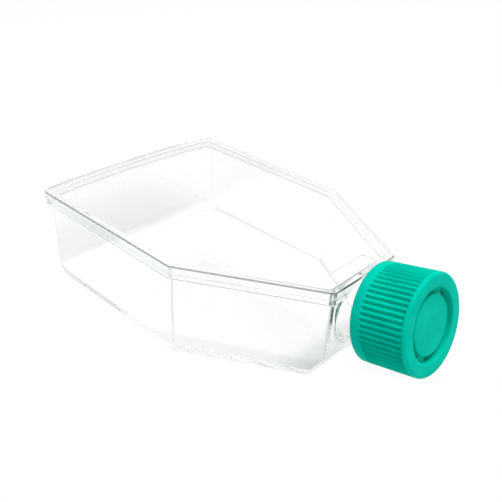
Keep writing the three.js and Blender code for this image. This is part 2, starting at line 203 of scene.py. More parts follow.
class Finish:
    """A material or a world under construction: node() adds its nodes and links its Values."""

    def __init__(self, owner):
        self.owner = owner
        owner.use_nodes = True
        self.tree = owner.node_tree
        self.tree.nodes.clear()

    def node(self, kind, settings=None, inputs=None, output=0):
        """Adds a node, sets its settings first, then its inputs by name or by order."""
        made = self.tree.nodes.new(kind)
        for key, value in (settings or {}).items():
            setattr(made, key, value)
        inputs = inputs or {}
        pairs = inputs.items() if isinstance(inputs, dict) else enumerate(inputs)
        for key, value in pairs:
            if isinstance(value, Value):
                self.tree.links.new(value.socket, made.inputs[key])
            else:
                made.inputs[key].default_value = value
        return Value(self, made.outputs[output])

    def blend(self, factor, first, second):
        """Colour that goes from first to second as factor goes from 0 to 1."""
        settings = {"data_type": "RGBA"}
        inputs = {0: factor, 6: first, 7: second}
        return self.node("ShaderNodeMix", settings, inputs, 2)

    def place(self):
        """The point on the piece, in the frame's metres."""
        return self.node("ShaderNodeTexCoord", {}, {}, "Object")

    def axes(self, vector):
        """The three numbers of a vector."""
        split = self.node("ShaderNodeSeparateXYZ", {}, [vector]).socket.node
        return [Value(self, socket) for socket in split.outputs]

    def light_path(self, name):
        """What the renderer knows of the ray that asks: its kind, or how far it has come."""
        return self.node("ShaderNodeLightPath", {}, {}, name)

    def noise(self, vector, scale, detail=2.0, roughness=0.5):
        """Cloudy pattern from 0 to 1, with about scale clouds to the metre."""
        inputs = {"Vector": vector, "Scale": scale, "Detail": detail, "Roughness": roughness}
        return self.node("ShaderNodeTexNoise", {}, inputs, "Fac")

    def bump(self, height, distance, strength=1.0):
        """Normal of a skin that stands up by distance, in metres, where height is 1."""
        inputs = {"Height": height, "Distance": distance, "Strength": strength}
        return self.node("ShaderNodeBump", {}, inputs, "Normal")

    def surface(self, shader, kind="ShaderNodeOutputMaterial"):
        """Makes the shader the surface, and hands back the output node."""
        output = self.tree.nodes.new(kind)
        self.tree.links.new(shader.socket, output.inputs["Surface"])
        return output

    def wear(self, thing):
        """Gives the finish to an object in place of any other."""
        thing.data.materials.clear()
        thing.data.materials.append(self.owner)


def new_finish(name):
    """Empty finish on a new material."""
    return Finish(bpy.data.materials.new(name))


print("shader helpers ready")

# %% [markdown]
# ## Studio
#
# Clear plastic on a white ground shows only where it bends light that comes from somewhere
# darker. In a studio this is called bright-field lighting: the ground and the walls are white,
# and the edges of the clear thing pick up what lies outside them. So the floor and the sky here
# are white to every straight look. A look that the plastic mirrors or bends finds them a little
# uneven: the sky is very faintly grey near the horizon, and the floor has a few painted shadows.
#
# Light that has been thrown about many times inside the plastic has gathered from everywhere, so
# it finds plain white again. Without that the walls would go dark all over. Matte surfaces see
# none of this. They are lit by three soft panels and an even fill at a plain level, and the
# panels don't show in the plastic as bright squares.

# %% Sky
WHITE = (1.0, 1.0, 1.0, 1.0)
FILL_LEVEL = 0.30
LOW_SKY = 0.92                  # strength of the sky near the horizon
HIGH_SKY = (0.28, 0.42)         # the sky turns white between these sines of its height
GUIDED = (6.0, 12.0)            # a ray counts as thrown about between these numbers of bounces
MOST_BOUNCES = 160


def looks(finish):
    """Masks for straight looks, for looks through clear plastic, for any look, and guided light.

    The mask for any look leaves out rays that have already lit something matte on their way.
    """
    straight = finish.light_path("Is Camera Ray")
    through = finish.light_path("Is Transmission Ray")
    any_look = straight.larger(finish.light_path("Is Glossy Ray")).larger(through)
    shows = any_look * (1.0 - finish.light_path("Diffuse Depth").smaller(1.0))
    guided = finish.light_path("Ray Depth").rise(*GUIDED)
    return straight, through, shows, guided


def make_sky():
    """World with two parts, chosen by the kind of ray.

    Straight looks and guided light see white. Other mirrored and bent looks see white overhead
    and LOW_SKY near the horizon. Every ray that lights something matte sees an even fill.
    """
    world = bpy.data.worlds.new("studio")
    finish = Finish(world)
    straight, _, shows, guided = looks(finish)
    direction = finish.node("ShaderNodeTexCoord", {}, {}, "Generated")
    up = finish.axes(direction)[2]
    grey = 1.0 - (1.0 - up.rise(*HIGH_SKY)) * (1.0 - LOW_SKY)
    grey = grey.larger(straight).larger(guided)
    plain = finish.node("ShaderNodeBackground", {}, {"Color": WHITE, "Strength": FILL_LEVEL})
    white = finish.node("ShaderNodeBackground", {}, {"Color": WHITE, "Strength": grey})
    both = finish.node("ShaderNodeMixShader", {}, [shows, plain, white])
    finish.surface(both, "ShaderNodeOutputWorld")
    bpy.context.scene.world = world


make_sky()
bpy.context.scene.view_settings.view_transform = "Standard"
light_paths = bpy.context.scene.cycles
light_paths.max_bounces = MOST_BOUNCES
light_paths.glossy_bounces = MOST_BOUNCES
light_paths.transmission_bounces = MOST_BOUNCES
print("fill", FILL_LEVEL, "low sky", LOW_SKY)

# %% Soft panels
PANEL_SIZE = 0.70
FLASK_MIDDLE = Vector((0.02, 0.0, 0.02))


def soft_panel(name, place, watts):
    """Square area lamp that faces the flask and is hidden from mirrored and bent looks."""
    data = bpy.data.lights.new(name, "AREA")
    data.shape = "SQUARE"
    data.size = PANEL_SIZE
    data.energy = watts
    lamp = bpy.data.objects.new(name, data)
    aim = (Vector(place) - FLASK_MIDDLE).to_track_quat("Z", "Y")
    lamp.matrix_world = Matrix.Translation(place) @ aim.to_matrix().to_4x4()
    lamp.visible_glossy = False
    lamp.visible_transmission = False
    bpy.context.scene.collection.objects.link(lamp)


soft_panel("key panel", (0.03, 0.08, 1.15), 15.2)
soft_panel("front panel", (1.00, -0.08, 0.45), 2.1)
soft_panel("side panel", (0.10, 1.00, 0.60), 2.0)
print("three soft panels of", PANEL_SIZE, "m")

# %% [markdown]
# ## Floor
#
# The flask lies on a matte white sheet. It glows white where it is looked at, and keeps a share
# of its own lit shade, so that the flask still sets a soft shadow on it. On a real table the
# ground that a clear wall shows is never quite even, because the bent look lands where the
# flask itself keeps light away. So shadows are painted into the glow in three places, and only
# for looks that come through the plastic: behind the rear wall, under the neck, and along the
# foot of one shoulder. All three painted shadows have soft edges.

# %% Floor sheet
FLOOR_DROP = 0.0002
FLOOR_RADIUS = 3.0
FLOOR_RINGS = 12
FLOOR_SIDES = 96


def make_floor():
    """Round sheet of rings, just under the flask, whose radii grow with the square of the ring."""
    radius = FLOOR_RADIUS * (np.arange(FLOOR_RINGS + 1) / FLOOR_RINGS) ** 2
    angle = 2 * np.pi * np.arange(FLOOR_SIDES) / FLOOR_SIDES
    r, a = np.meshgrid(radius[1:], angle, indexing="ij")
    points = np.stack([r * np.cos(a), r * np.sin(a), np.full_like(r, -FLOOR_DROP)], axis=-1)
    points = np.vstack([points.reshape(-1, 3), [[0.0, 0.0, -FLOOR_DROP]]])
    faces = grid_faces(FLOOR_RINGS, FLOOR_SIDES)
    first = np.arange(FLOOR_SIDES)
    middle = np.full(FLOOR_SIDES, FLOOR_RINGS * FLOOR_SIDES)
    hub = np.stack([middle, first, (first + 1) % FLOOR_SIDES], axis=-1)
    return make_mesh("floor", points, [*faces.tolist(), *hub.tolist()])


floor = make_floor()
print("floor of", len(floor.data.polygons), "faces")

# %% Floor finish: places in metres, each as where its soft edge starts and ends
MATTE_WHITE = (0.80, 0.80, 0.80, 1.0)
# colour of the shadows painted into the floor's glow
SHADE_COLOUR = (0.0, 0.16, 0.08, 1.0)

BEHIND_START = (-0.135, -0.070)
BEHIND_END = (-0.064, -0.054)
BEHIND_FAR_SIDE = (0.020, 0.060)
BEHIND_SHADE = 0.17
FAR_SIDE_LOSS = 0.7             # share of that shade that is gone at the far side

NECK_START = (0.038, 0.056)
NECK_SHADE = 0.38

SHOULDER_NORMAL = (-0.490, 0.872, 0.0)
SHOULDER_FOOT = (-0.0357, -0.0322)
FOOT_SHADE = 0.05
FOOT_MORE_SHADE = 0.06          # added towards the neck
FOOT_MORE_START = (0.028, 0.050)

GLOW_SHARE = 0.92               # glow against lit shade, where the floor is looked at
THROUGH_LOSS = 0.62             # less glow than that, where it is seen through the plastic
NECK_GLOW = (0.0, 0.4)          # shades under the neck that take this loss away
FOOT_GLOW = (0.0, 0.02)         # shades at the foot at which the glow takes over altogether
FAR_GLOW = (0.2, 0.9)           # distances from the middle at which it does so too


def floor_finish():
    """Mix of a matte sheet and a glow with shadows painted into it in three places.

    The grey goes by the place on the floor: two soft edges along x behind the flask, one under
    the neck, and for the shoulder's foot one soft edge square to the shoulder. Seen through the
    plastic, the open floor keeps more of its lit shade than those places do. At the shoulder's
    foot, far away and for guided light there is no lit shade in the mix.
    """
    finish = new_finish("floor")
    _, through, shows, guided = looks(finish)
    matte = finish.node("ShaderNodeBsdfDiffuse", {}, {"Color": MATTE_WHITE})
    place = finish.place()
    along, sideways = finish.axes(place)[:2]
    behind = (1.0 - along.rise(*BEHIND_END)) * along.rise(*BEHIND_START)
    behind = behind * (1.0 - FAR_SIDE_LOSS * sideways.rise(*BEHIND_FAR_SIDE))
    under_neck = along.rise(*NECK_START)
    across = finish.node("ShaderNodeVectorMath", {"operation": "DOT_PRODUCT"},
                         [place, SHOULDER_NORMAL], "Value")
    at_foot = 1.0 - across.rise(*SHOULDER_FOOT)
    at_foot = at_foot * (FOOT_SHADE + FOOT_MORE_SHADE * along.rise(*FOOT_MORE_START))
    # painted shadows: greyer glow behind the flask, under the neck and at the shoulder's foot
    painted_shadow = BEHIND_SHADE * behind + NECK_SHADE * under_neck + at_foot
    painted_shadow = through * (1.0 - guided) * painted_shadow
    glow = finish.node("ShaderNodeEmission", {}, {"Color": finish.blend(painted_shadow, WHITE, SHADE_COLOUR)})
    away = finish.node("ShaderNodeVectorMath", {"operation": "LENGTH"}, [place], "Value")
    lit_shade = THROUGH_LOSS * through * (1.0 - behind) * (1.0 - under_neck.rise(*NECK_GLOW))
    share = (GLOW_SHARE - lit_shade).larger(at_foot.rise(*FOOT_GLOW))
    share = share.larger(away.rise(*FAR_GLOW)).larger(guided)
    finish.surface(finish.node("ShaderNodeMixShader", {}, [shows * share, matte, glow]))
    return finish


floor_finish().wear(floor)
print("floor finish glows at", GLOW_SHARE)

# %% [markdown]
# ## Clear plastic
#
# Polystyrene is as clear as glass and bends light more than most plastics do. Looked through
# once it has no colour. Light that runs along inside a wall to its edge goes through centimetres
# of it, and comes out grey-green. Part of that colour is here an absorption per metre of
# plastic. The rest is painted shade that stands in for the dark lines a clear edge shows: a dark
# grey-green line painted on the rounded edge of the plate, and a very faint painted grey band on
# the welded rim. On the edge the painted line works only for the first few bounces of a ray, and
# for some more on the far and rear sides, or light that meets the same edge again and again would
# leave all the walls dark.
#
# The moulded skin isn't perfectly flat. Where the melt flowed it is a few hundredths of a
# millimetre high and low over some centimetres. Rays that only carry light to matte things pass
# through a plain film in place of the glass, because sharp bright patterns of bent light take
# far too long to work out.

# %% Clear polystyrene
REFRACTIVE_INDEX = 1.58
ABSORBED_PER_METRE = 0.35
ABSORPTION_COLOUR = (0.50, 0.66, 0.58, 1.0)
FILM_COLOUR = (0.99, 0.994, 0.992, 1.0)
FLOW_SCALE = 38.0
FLOW_HEIGHT = 0.00002

# %% Where shade is painted on the plastic: places in metres, each from none to full
# a dark grey-green line painted on the plate's rounded edge as shade
EDGE_PAINTED_SHADE = (0.20, 0.215, 0.205, 1.0)
EDGE_START = (0.03395, 0.03405)     # height on the plate's edge
EDGE_FLAT = (0.90, 0.985)           # upward part of the normal, at which the edge is over
POCKET_START = (0.0500, 0.0502)
POCKET_END = (0.0564, 0.0566)
POCKET_SIDE = (0.0092, 0.0094)
POCKET_LOSS = 0.75                  # share of the painted edge shade that the pocket's own edge goes without
NEAR_BOUNCES = (4.0, 8.0)
FAR_BOUNCES = (20.0, 40.0)
FAR_SIDE = (-0.015, 0.005)
REAR_SIDE = (-0.057, -0.050)

# a faint grey band painted on the upright faces of the welded rim as shade
WELD_PAINTED_SHADE = (0.88, 0.91, 0.89, 1.0)
WELD_START = (0.0290, 0.0302)
WELD_END = (0.0334, 0.0340)
WELD_FLAT = (0.3, 0.6)              # upward or downward part of the normal that isn't upright
WELD_SHOULDERS = (0.012, 0.014)
SHOULDER_LOSS = 0.8                 # share of the weld's painted shade that the shoulders go without


def painted_edge_shade_mask(finish, place, level):
    """Painted shade, 1 on the plate's rounded edge, less in the pocket, 0 after too many bounces.
    """
    x, y, height = finish.axes(place)
    edge = height.rise(*EDGE_START) * (1.0 - level.rise(*EDGE_FLAT))
    beside = 1.0 - y.abs().rise(*POCKET_SIDE)
    pocket_box = x.rise(*POCKET_START) * (1.0 - x.rise(*POCKET_END)) * beside
    edge = edge * (1.0 - POCKET_LOSS * pocket_box)
    bounces = finish.light_path("Ray Depth")
    far = y.rise(*FAR_SIDE).larger(1.0 - x.rise(*REAR_SIDE))
    far = far * (1.0 - bounces.rise(*FAR_BOUNCES))
    near = 1.0 - bounces.rise(*NEAR_BOUNCES)
    return edge * near.larger(far)


def painted_weld_shade_mask(finish, place, level):
    """Painted shade, 1 on the welded rim's upright faces, less along the shoulders and the front.
    """
    x, _, height = finish.axes(place)
    upright = 1.0 - level.abs().rise(*WELD_FLAT)
    weld = height.rise(*WELD_START) * (1.0 - height.rise(*WELD_END)) * upright
    return weld * (1.0 - SHOULDER_LOSS * x.rise(*WELD_SHOULDERS))


def clear_polystyrene():
    """Glass-like shader with a faint flow waviness in its skin, and painted shade at its edges."""
    finish = new_finish("clear_polystyrene")
    place = finish.place()
    skin = finish.bump(finish.noise(place, FLOW_SCALE, 1.0), FLOW_HEIGHT)
    level = finish.axes(finish.node("ShaderNodeNewGeometry", {}, {}, "Normal"))[2]
    # painted shade: a dark line on the plate's edge, then a faint grey band on the welded rim
    painted_shade = finish.blend(painted_edge_shade_mask(finish, place, level), WHITE, EDGE_PAINTED_SHADE)
    painted_shade = finish.blend(painted_weld_shade_mask(finish, place, level), painted_shade, WELD_PAINTED_SHADE)
    shader = finish.node("ShaderNodeBsdfPrincipled", {}, {
        "Base Color": painted_shade,
        "Roughness": 0.0,
        "IOR": REFRACTIVE_INDEX,
        "Transmission Weight": 1.0,
        "Normal": skin,
    })
    film = finish.node("ShaderNodeBsdfTransparent", {}, {"Color": FILM_COLOUR})
    lighting = finish.light_path("Is Shadow Ray").larger(finish.light_path("Is Diffuse Ray"))
    output = finish.surface(finish.node("ShaderNodeMixShader", {}, [lighting, shader, film]))
    depth = finish.node("ShaderNodeVolumeAbsorption", {}, {
        "Color": ABSORPTION_COLOUR,
        "Density": ABSORBED_PER_METRE,
    })
    finish.tree.links.new(depth.socket, output.inputs["Volume"])
    return finish


clear = clear_polystyrene()
print("clear plastic, index", REFRACTIVE_INDEX)

# %% [markdown]
# ## Flask body: plans at many heights
#
# Seen from above, the body is a rectangle with two cut shoulders, and every level of it is the
# same plan moved inward a little more or less. So the walls are lofted: the plan is worked out
# at many heights and its points are joined from one height to the next. The moulded details are
# all in how far each level is moved in: the draft of the walls, the rounded edge at the base,
# the softer bend at the rear, the sloping front end, the rim, and the groove where the plate
# is welded on.
#
# The tray and the plate are two mouldings, but the weld makes them one clear body, without air
# between them. Light passes from one to the other, so here they are one closed skin.

# %% Sizes of the body, in millimetres
BODY_WIDTH = 85.0
STRAIGHT_LENGTH = 72.0
SHOULDER_LENGTH = 45.0
FRONT_WIDTH = 32.5
REAR_BOW = 2.4
RIM_RADII = np.array([3.0, 1.0, 1.8])       # in plan: rear corner, bend, front corner
WALL_RADII = np.array([3.8, 0.7, 3.0])
SMALLEST_RADIUS = 0.2
CORNER_STEPS = (14, 6, 12)
REAR_STEPS = 30

BODY_HEIGHT = 34.5
WALL = 1.5
BASE_EDGE_RADIUS = 0.4
FLOOR_EDGE_RADIUS = 0.9
CEILING_EDGE_RADIUS = 0.4
REAR_EDGE_RADIUS = 6.0
WALL_DRAFT = 0.3
RIM_OVERHANG = 1.2
RIM_LOW_Z = 29.7
RIM_LOW_RADIUS = 0.25
JOINT_Z = 31.75
JOINT_HALF_HEIGHT = 0.12
JOINT_DEPTH = 0.2
TOP_EDGE_RADIUS = 0.5
RAMP_RUN = 4.2
RAMP_RISE = 6.5
RAMP_BLEND = 1.2

REAR_X = -(STRAIGHT_LENGTH + SHOULDER_LENGTH) / 2
BEND_X = REAR_X + STRAIGHT_LENGTH
FRONT_X = REAR_X + STRAIGHT_LENGTH + SHOULDER_LENGTH
FRONT_WALL_X = FRONT_X - RIM_OVERHANG
print("body from x", REAR_X - REAR_BOW, "to", FRONT_X, "mm")

# %% Plan of the body


def arc_at_corner(before, corner, after, radius, steps):
    """Points of the arc that rounds off each corner, for a stack of plans at once.

    The arc's centre lies on the corner's bisector, radius / sin(half angle) away, and the arc
    turns from one side to the other through pi minus the corner's angle, the way that the
    outline turns there.
    """
    to_before = before - corner
    to_before /= np.linalg.norm(to_before, axis=-1, keepdims=True)
    to_after = after - corner
    to_after /= np.linalg.norm(to_after, axis=-1, keepdims=True)
    half = np.arccos(np.clip((to_before * to_after).sum(-1), -1, 1)) / 2
    inward = to_before + to_after
    inward /= np.linalg.norm(inward, axis=-1, keepdims=True)
    centre = corner + inward * (radius / np.sin(half))[:, None]
    start = corner + to_before * (radius / np.tan(half))[:, None] - centre
    bend = np.sign(to_before[:, 1] * to_after[:, 0] - to_before[:, 0] * to_after[:, 1])
    angle = (bend * (np.pi - 2 * half))[:, None] * np.linspace(0, 1, steps + 1)
    x = start[:, :1] * np.cos(angle) - start[:, 1:] * np.sin(angle)
    y = start[:, :1] * np.sin(angle) + start[:, 1:] * np.cos(angle)
    return centre[:, None, :] + np.stack([x, y], axis=-1)


def plan(inset, radii, front_pull=0.0, rear_pull=0.0):
    """Stack of plans: points x and y, anticlockwise, for arrays of insets and pulls.

    The sides and shoulders move inward by the inset. The front and rear edges move by the
    inset and their own pull. The rear edge bows out as a parabola across the width.
    """
    inset, front_pull, rear_pull = np.broadcast_arrays(
        np.atleast_1d(inset).astype(float), front_pull, rear_pull)
    radii = np.broadcast_to(radii, (len(inset), 3))
    half = BODY_WIDTH / 2 - inset
    slope = (FRONT_WIDTH - BODY_WIDTH) / 2 / SHOULDER_LENGTH
    length = np.hypot(1.0, slope)
    bend_x = BEND_X + inset * slope / length
    bend_y = BODY_WIDTH / 2 - inset / length
    side_x = bend_x + (half - bend_y) / slope
    front_x = FRONT_X - inset - front_pull
    front_y = bend_y + (front_x - bend_x) * slope
    rear_x = REAR_X + inset + rear_pull
    far = np.stack([np.stack([rear_x, half], -1), np.stack([side_x, half], -1),
                    np.stack([front_x, front_y], -1)], axis=1)
    near = far * [1, -1]
    corners = np.concatenate([near, far[:, ::-1]], axis=1)
    kinds = [0, 1, 2, 2, 1, 0]
    parts = [arc_at_corner(corners[:, i - 1], corners[:, i], corners[:, (i + 1) % 6],
                           radii[:, kind], CORNER_STEPS[kind]) for i, kind in enumerate(kinds)]
    points = np.concatenate(parts, axis=1)
    share = (np.arange(1, REAR_STEPS) / REAR_STEPS)[None, :, None]
    rear = points[:, -1:] + (points[:, :1] - points[:, -1:]) * share
    points = np.concatenate([points, rear], axis=1)
    bow = REAR_BOW * np.maximum(0, 1 - (points[..., 1] / half[:, None]) ** 2)
    points[..., 0] -= np.where(points[..., 0] < BEND_X, bow, 0)
    return points


def shrunk(radii, amount):
    """Corner radii of plans that are moved inward by these amounts, none below the least."""
    less = radii[None, :] - np.atleast_1d(amount)[:, None]
    return np.maximum(SMALLEST_RADIUS, less)


def levels(z, inset, radii, front_pull=0.0, rear_pull=0.0):
    """The plans lifted to their heights, in metres."""
    points = plan(inset, radii, front_pull, rear_pull)
    height = np.broadcast_to(np.atleast_1d(z)[:, None, None], (*points.shape[:2], 1))
    return np.concatenate([points, height], axis=-1) * MM


print("each plan has", plan(0.0, RIM_RADII).shape[1], "points")

# %% Walls
BEND_LEVELS = 14
BEND_CROWDING = 1.6
SLOPE_LEVELS = 8
EDGE_STEPS = 8


def ramp_pull(z, extra):
    """How far the sloping front end stands behind the front wall at a height.

    A straight slope that a parabola of height RAMP_BLEND bends into the wall. A surface inside
    the plastic is set back square to the slope.
    """
    rate = RAMP_RUN / RAMP_RISE
    slope = math.atan2(RAMP_RISE, RAMP_RUN)
    straight = RAMP_RUN + extra * (1 / math.sin(slope) - 1) - rate * z
    blend = rate * RAMP_BLEND / 2
    curved = np.maximum(0, straight + blend) ** 2 / (4 * blend)
    return np.where(straight > blend, straight, curved)


def rear_pull(z, extra):
    """How far the quarter circle at the foot of the rear wall stands in front of the wall."""
    radius = REAR_EDGE_RADIUS - extra
    below = np.maximum(0, REAR_EDGE_RADIUS - z)
    return radius - np.sqrt(np.maximum(0, radius ** 2 - below ** 2))


def wall_levels(z, extra, edge):
    """Levels of the walls, set inward by extra for the inside, and by edge where rounded."""
    z = np.asarray(z, float)
    draft = WALL_DRAFT * (1 - z / (BODY_HEIGHT - WALL))
    inset = RIM_OVERHANG + draft + extra + edge
    radii = shrunk(WALL_RADII, extra + edge)
    pull = np.maximum(0, rear_pull(z, extra) - edge)
    return levels(z, inset, radii, ramp_pull(z, extra), pull)


def quarter(radius, steps):
    """Heights and insets along a quarter circle, from flat underneath to upright."""
    angle = np.linspace(0, np.pi / 2, steps + 1)
    return radius * (1 - np.cos(angle)), radius * (1 - np.sin(angle))


def wall_heights(low, high):
    """Heights that come closer together in the rear bend and in the blend of the slope.

    In the rear bend they rise with the power BEND_CROWDING of an even share.
    """
    bend = low + (REAR_EDGE_RADIUS - low) * np.linspace(0, 1, BEND_LEVELS) ** BEND_CROWDING
    blend = RAMP_RISE + RAMP_BLEND * np.linspace(-0.5, 0.5, SLOPE_LEVELS)
    return np.unique(np.round(np.concatenate([bend[1:], blend, [high]]), 3))


def lofted(name, stack):
    """Closed solid through a stack of levels, with one face at the bottom and one on top."""
    stack = np.concatenate(stack)
    count = stack.shape[1]
    sides = grid_faces(len(stack), count)
    bottom = np.arange(count)[::-1]
    top = (len(stack) - 1) * count + np.arange(count)
    return make_mesh(name, stack, [*sides.tolist(), bottom.tolist(), top.tolist()])


def outside_of_body():
    """Base edge, walls, rim with the weld's groove, and the rounded edge of the plate."""
    rise, pulled = quarter(BASE_EDGE_RADIUS, EDGE_STEPS)
    walls = wall_heights(BASE_EDGE_RADIUS, RIM_LOW_Z)
    rim_rise, rim_pulled = quarter(RIM_LOW_RADIUS, 4)
    groove_z = JOINT_Z + JOINT_HALF_HEIGHT * np.array([-1, 0, 1])
    groove_inset = JOINT_DEPTH * np.array([0, 1, 0])
    top_rise, top_pulled = quarter(TOP_EDGE_RADIUS, EDGE_STEPS)
    rim_z = np.concatenate([RIM_LOW_Z + rim_rise, groove_z, BODY_HEIGHT - top_rise[::-1]])
    rim_inset = np.concatenate([rim_pulled, groove_inset, top_pulled[::-1]])
    return lofted("body outside", [
        wall_levels(rise, 0.0, pulled),
        wall_levels(walls, 0.0, np.zeros(len(walls))),
        levels(rim_z, rim_inset, shrunk(RIM_RADII, rim_inset)),
    ])


def inside_of_body():
    """The culture space: floor edge, walls, and a small rounding under the plate."""
    ceiling = BODY_HEIGHT - WALL
    rise, pulled = quarter(FLOOR_EDGE_RADIUS, EDGE_STEPS)
    walls = wall_heights(WALL + FLOOR_EDGE_RADIUS, ceiling - CEILING_EDGE_RADIUS)
    top_rise, top_pulled = quarter(CEILING_EDGE_RADIUS, 5)
    return lofted("culture space", [
        wall_levels(WALL + rise, WALL, pulled),
        wall_levels(walls, WALL, np.zeros(len(walls))),
        wall_levels(ceiling - top_rise[-2::-1], WALL, top_pulled[-2::-1]),
    ])


body_outside = outside_of_body()
culture_space = inside_of_body()
print("outside", len(body_outside.data.polygons), "faces, inside",
      len(culture_space.data.polygons))

# %% [markdown]
# ## Neck
#
# The neck is a round tube that leans up by 14 degrees. Where it leaves the front wall a fillet
# spreads it. The fillet is widest below, hardly there at the sides, and wider again above them,
# where it bends the colour of the cap into two dark streaks. The neck's end is chamfered outside
# and in. A right-hand thread runs round it, low and rounded as on a moulded bottle, and fades
# out at both ends.
#
# A tube and a torus joined by hand would leave a crease where they meet the slanting wall. So
# the fillet's curve is worked out from its distance to the wall, once for every angle.

# %% Sizes of the neck, in millimetres
CANT = math.radians(14.0)
NECK_AXIS_HEIGHT = 21.6
NECK_RADIUS = 12.2
NECK_BORE_RADIUS = 10.2
NECK_LENGTH = 22.6
NECK_SIDE_FILLET = 0.3
NECK_UNDER_FILLET = 3.0
NECK_UPPER_FILLET = 2.0
UPPER_FILLET_START = (-0.1, 0.4)    # upward part of the direction, from none to full
NECK_CHAMFER = 0.5
NECK_SIDES = 160
FILLET_STEPS = 12


def onto_neck(points):
    """Turns points from the neck's own axes into the frame.

    In the neck's own axes Z runs out along it from the front wall and X points down.
    """
    along = np.array([math.cos(CANT), 0.0, math.sin(CANT)])
    down = np.array([math.sin(CANT), 0.0, -math.cos(CANT)])
    across = np.array([0.0, 1.0, 0.0])
    origin = np.array([FRONT_WALL_X, 0.0, NECK_AXIS_HEIGHT])
    x, y, z = (points[..., i, None] for i in range(3))
    return (origin + x * down + y * across + z * along) * MM


def outside_of_neck():
    """The fillet as a quarter circle that leaves the wall's plane, then the tube, lofted.

    The fillet's radius grows below with the squared cosine of the angle, and above the sides
    with the squared sine. A point of the fillet is at a distance from the wall's plane. Its
    place along the axis is that distance plus its height times the sine of the lean, over the
    cosine of the lean.
    """
    angle = 2 * np.pi * np.arange(NECK_SIDES) / NECK_SIDES
    below = np.maximum(0, np.cos(angle)) ** 2
    above = np.sin(angle) ** 2 * smooth(-np.cos(angle), *UPPER_FILLET_START)
    fillet = NECK_SIDE_FILLET + (NECK_UNDER_FILLET - NECK_SIDE_FILLET) * below
    fillet = fillet + (NECK_UPPER_FILLET - NECK_SIDE_FILLET) * above
    turn = np.concatenate([[0], np.linspace(0, np.pi / 2, FILLET_STEPS + 1)])[:, None]
    radius = NECK_RADIUS + fillet * (1 - np.sin(turn))
    away = fillet * (1 - np.cos(turn))
    away[0] = -WALL / 2
    z = (away - np.cos(angle) * radius * math.sin(CANT)) / math.cos(CANT)
    end_radius = np.array([[NECK_RADIUS], [NECK_RADIUS - NECK_CHAMFER]])
    end_z = np.array([[NECK_LENGTH - NECK_CHAMFER], [NECK_LENGTH]])
    radius = np.concatenate([radius, np.broadcast_to(end_radius, (2, NECK_SIDES))])
    z = np.concatenate([z, np.broadcast_to(end_z, (2, NECK_SIDES))])
    rings = np.stack([radius * np.cos(angle), radius * np.sin(angle), z], axis=-1)
    return lofted("neck outside", [onto_neck(rings)])


def bore_of_neck():
    """Plain bore that starts inside the culture space and flares at the rim."""
    angle = 2 * np.pi * np.arange(NECK_SIDES) / NECK_SIDES
    start = -(NECK_RADIUS * math.tan(CANT) + WALL + RIM_OVERHANG)
    z = np.array([start, NECK_LENGTH - NECK_CHAMFER, NECK_LENGTH, NECK_LENGTH + 2])[:, None]
    radius = NECK_BORE_RADIUS + np.array([0, 0, NECK_CHAMFER, NECK_CHAMFER])[:, None]
    rings = np.stack(np.broadcast_arrays(radius * np.cos(angle), radius * np.sin(angle), z), -1)
    return lofted("neck bore", [onto_neck(rings)])


neck_outside = outside_of_neck()
neck_bore = bore_of_neck()
print("neck", len(neck_outside.data.polygons), "faces, bore", len(neck_bore.data.polygons))

# %% Screw thread, in millimetres
THREAD_PITCH = 4.0
THREAD_HEIGHT = 1.2
THREAD_HALF_WIDTH = 1.15
THREAD_END_WIDTH = 0.55         # share of the width that is left at the very ends
THREAD_END_TURN = 0.2           # turn over which an end swells to the full height
THREAD_ROUNDING = 1.4           # power of the cosine that shapes the ridge
THREAD_FOOT = 0.15
STEPS_PER_TURN = 90
STEPS_ACROSS = 12


def thread(name, root_radius, start, turns, phase, inward=False):
    """Rounded ridge along a right-hand helix, swollen from nothing at both ends.

    Along the ridge the angle grows with the turn and the place along the axis grows by one
    pitch a turn. Across it the height follows a power of a cosine. Its foot is sunk a little.
    """
    sign = -1.0 if inward else 1.0
    count = int(STEPS_PER_TURN * turns)
    t = np.linspace(0, 1, count + 1)[:, None]
    swell = smooth(np.minimum(t, 1 - t) * turns, 0, THREAD_END_TURN)
    across = np.linspace(-1, 1, STEPS_ACROSS + 1)[None, :]
    lift = THREAD_HEIGHT * swell * np.cos(across * np.pi / 2) ** THREAD_ROUNDING
    radius = root_radius + sign * lift
    half_width = THREAD_HALF_WIDTH * (THREAD_END_WIDTH + (1 - THREAD_END_WIDTH) * swell)
    angle = phase + 2 * np.pi * turns * t + 0 * across
    z = start + THREAD_PITCH * turns * t + half_width * across
    foot = root_radius - sign * THREAD_FOOT
    ring_r = np.concatenate([radius, np.broadcast_to(foot, (count + 1, 2))], axis=1)
    ring_z = np.concatenate([z, z[:, -1:], z[:, :1]], axis=1)
    ring_a = np.concatenate([angle, angle[:, :2]], axis=1)
    rings = np.stack([ring_r * np.cos(ring_a), ring_r * np.sin(ring_a), ring_z], axis=-1)
    if not inward:
        rings = rings[:, ::-1]
    return lofted(name, [onto_neck(rings)])


THREAD_START = 10.2
THREAD_TURNS = 2.6
neck_thread = thread("neck thread", NECK_RADIUS, THREAD_START, THREAD_TURNS, 0.0)
print("thread climbs", THREAD_PITCH * THREAD_TURNS, "mm")

# %% [markdown]
# ## One clear body
#
# The plate has a shallow pocket behind the neck, where a flask is marked. Its outline is a
# rectangle with four rounded corners, so the same corner arcs as for the body's plans make it.
#
# Then the outside, the neck and its thread are joined into one solid, and the culture space, the
# bore and the pocket are cut out of it. The mesh could be stitched together by hand round the
# neck, but a Boolean finds that curve by itself. It leaves slivers of a thousandth of a
# millimetre where two surfaces nearly touch, so its points are welded together afterwards.

# %% Pocket in the plate, in millimetres
POCKET_WIDTH = 17.8
POCKET_LENGTH = 5.4
POCKET_DEPTH = 0.35
POCKET_SETBACK = 2.6
POCKET_CORNER = 1.2
POCKET_CORNER_STEPS = 8
POCKET_EDGE_HEIGHTS = np.array([0.0, 0.03, 0.12, 1.0])
POCKET_EDGE_INSETS = np.array([0.12, 0.03, 0.0, 0.0])


